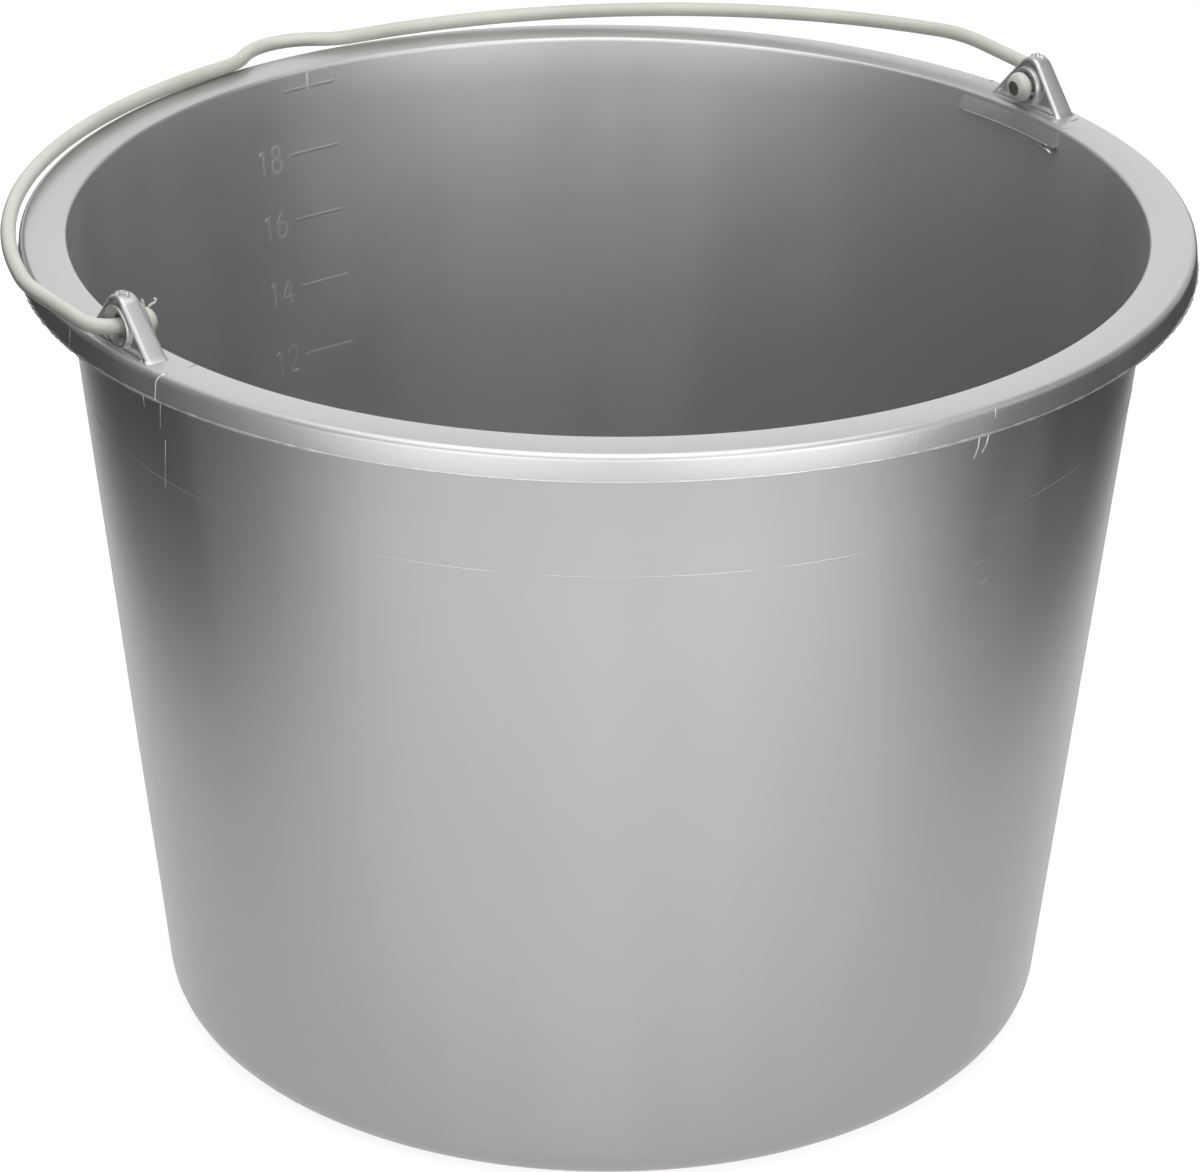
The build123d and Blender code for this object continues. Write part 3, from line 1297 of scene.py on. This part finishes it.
paper = bpy.data.materials.new("paper")
paper.use_nodes = True
paper_tree = paper.node_tree
paper_tree.nodes.clear()
place = paper_tree.nodes.new("ShaderNodeNewGeometry").outputs["Position"]
backwards = along(paper_tree, place, paper_along)
sideways = combine(paper_tree, "ABSOLUTE", along(paper_tree, place, paper_across), 0.0)
past_waist = combine(paper_tree, "SUBTRACT", backwards, paper_waist_place)
in_front = combine(paper_tree, "MINIMUM", past_waist, 0.0)
flare = combine(paper_tree, "MULTIPLY", in_front, in_front)
half_width = combine(paper_tree, "MULTIPLY_ADD", flare, paper_widening, paper_waist)
offset = combine(paper_tree, "DIVIDE", sideways, half_width)
on_paper = spread(paper_tree, offset, paper_fade_start, paper_fade_end, 1.0, 0.0)
print("the paper is", 2 * paper_waist, "m wide beside the bucket")

# %% What the wall mirrors in the paper
mirrored_glow = 0.5
front_glow = 0.86
front_start = -0.05
front_full = -0.4
far_glow = 1.15
far_start = -0.6
far_full = -1.0
far_gap = 0.1
far_width = 0.5

paper_path = paper_tree.nodes.new("ShaderNodeLightPath").outputs
mirrored = combine(paper_tree, "MAXIMUM", paper_path["Is Glossy Ray"], paper_path["Is Transmission Ray"])
mirrored_paper = combine(paper_tree, "MULTIPLY", mirrored, on_paper)
near_level = spread(paper_tree, backwards, front_full, front_start, front_glow, mirrored_glow)
beside_middle = spread(paper_tree, sideways, far_gap, far_width)
far_front = spread(paper_tree, backwards, far_full, far_start, far_glow, 0.0)
far_level = combine(paper_tree, "MULTIPLY", beside_middle, far_front)
paper_level = combine(paper_tree, "ADD", near_level, far_level)
mirrored_level = combine(paper_tree, "MULTIPLY", mirrored_paper, paper_level)
print("the paper's glow in the wall runs from", mirrored_glow, "to", front_glow)

# %% The paper's shader
paper_white = 0.3
paper_glow = 0.85
room_grey = 0.03

pale = combine(paper_tree, "MAXIMUM", paper_path["Is Camera Ray"], on_paper)
paper_colour = mixed_colour(paper_tree, pale, (room_grey,) * 3 + (1.0,), (paper_white,) * 3 + (1.0,))
lit = add_node(paper_tree, "ShaderNodeBsdfDiffuse", {"Color": paper_colour}).outputs["BSDF"]
glow_level = mixed_value(paper_tree, paper_path["Is Camera Ray"], mirrored_level, paper_glow)
glow = add_node(paper_tree, "ShaderNodeEmission", {"Strength": glow_level}).outputs["Emission"]
paper_shader = add_node(paper_tree, "ShaderNodeAddShader", {0: lit, 1: glow}).outputs["Shader"]
add_node(paper_tree, "ShaderNodeOutputMaterial", {"Surface": paper_shader})
floor_mesh.materials.append(paper)
print("the paper's shader has", len(paper_tree.nodes), "nodes")

# %% Backdrop and front card
room_side = 0.1
backdrop_start = 0.45
backdrop_full = 0.75
card_start = 0.5
card_full = 0.66
card_level = 3.0
card_fade = 0.2
card_top = 0.58
card_middle = 0.8
card_sides = 1.35
card_gap = 0.1
card_reach = 0.45

world = bpy.data.worlds.new("studio")
scene.world = world
world.use_nodes = True
world_tree = world.node_tree
world_tree.nodes.clear()
towards = world_tree.nodes.new("ShaderNodeTexCoord").outputs["Generated"]
facing = along(world_tree, towards, paper_along)
backdrop = spread(world_tree, facing, backdrop_start, backdrop_full, room_side, 1.0)
card_width = spread(world_tree, facing, -card_full, -card_start, card_level, 0.0)
rise = along(world_tree, towards, (0.0, 0.0, 1.0))
card_rise = spread(world_tree, rise, card_fade, card_top, 1.0, 0.0)
card_offset = combine(world_tree, "ABSOLUTE", along(world_tree, towards, paper_across), 0.0)
card_evenness = spread(world_tree, card_offset, card_gap, card_reach, card_middle, card_sides)
card_face = combine(world_tree, "MULTIPLY", card_width, card_rise)
front_card = combine(world_tree, "MULTIPLY", card_face, card_evenness)
surroundings = combine(world_tree, "ADD", backdrop, front_card)
print("the front card's level is", card_level)

# %% White for the camera, surroundings for reflections
room_light = 0.03

world_path = world_tree.nodes.new("ShaderNodeLightPath").outputs
mirrored = combine(world_tree, "MAXIMUM", world_path["Is Glossy Ray"], world_path["Is Transmission Ray"])
mirrored_level = mixed_value(world_tree, mirrored, room_light, surroundings)
world_level = mixed_value(world_tree, world_path["Is Camera Ray"], mirrored_level, 1.0)
background = add_node(world_tree, "ShaderNodeBackground", {"Strength": world_level}).outputs["Background"]
add_node(world_tree, "ShaderNodeOutputWorld", {"Surface": background})
print("room light", room_light)

# %% Soft lamps
lamp_target = Vector((0, 0, 0.2))


def soft_lamp(name, azimuth, elevation, distance, width, depth, power):
    """A rectangular lamp that faces the bucket; azimuth 0 is in front, on the -Y side."""
    side = math.radians(azimuth)
    rise = math.radians(elevation)
    away = Vector((math.sin(side) * math.cos(rise), -math.cos(side) * math.cos(rise), math.sin(rise)))
    lamp = bpy.data.lights.new(name, "AREA")
    lamp.shape = "RECTANGLE"
    lamp.size = width
    lamp.size_y = depth
    lamp.energy = power
    holder = bpy.data.objects.new(name, lamp)
    holder.location = lamp_target + away * distance
    holder.rotation_euler = away.to_track_quat("Z", "Y").to_euler()
    scene.collection.objects.link(holder)
    print(name, "has", power, "W")


soft_lamp("key_left", azimuth=-54, elevation=17, distance=1.9, width=1.0, depth=1.0, power=2.0)
soft_lamp("key_right", azimuth=-8, elevation=17, distance=1.9, width=1.0, depth=1.0, power=4.2)
soft_lamp("side_right", azimuth=39, elevation=32, distance=1.9, width=1.0, depth=1.0, power=3.5)
soft_lamp("overhead", azimuth=-45, elevation=74, distance=1.7, width=2.0, depth=2.0, power=36)
soft_lamp("back_top", azimuth=143, elevation=68, distance=1.8, width=1.8, depth=1.0, power=4.5)
soft_lamp("backdrop_lamp", azimuth=143, elevation=19, distance=2.0, width=2.2, depth=1.2, power=3.2)

# %% [markdown]
# ## Camera
#
# The camera was fitted to the rim, the taper and the foot of the bucket in the photograph: a long
# lens that looks down by about 26 degrees, with the bucket filling the frame. It is written as three
# directions and a place, because a fitted camera has a trace of roll that a target point can't give.

# %% Place the camera
camera_place = (-0.883433, -1.166285, 0.840805)
camera_right = (0.8000212, -0.5999209, 0.0078094)
camera_up = (0.2536713, 0.3500202, 0.9017409)
camera_back = (-0.5437066, -0.7194309, 0.4322063)

lens = bpy.data.cameras.new("camera")
lens.sensor_fit = "HORIZONTAL"
lens.sensor_width = 36.0
lens.lens = 148.571
camera = bpy.data.objects.new("camera", lens)
columns = (camera_right, camera_up, camera_back, camera_place)
camera.matrix_world = Matrix([[column[axis] for column in columns] for axis in range(3)]).to_4x4()
scene.collection.objects.link(camera)
scene.camera = camera
scene.view_settings.view_transform = "Standard"
print("camera at", camera_place)
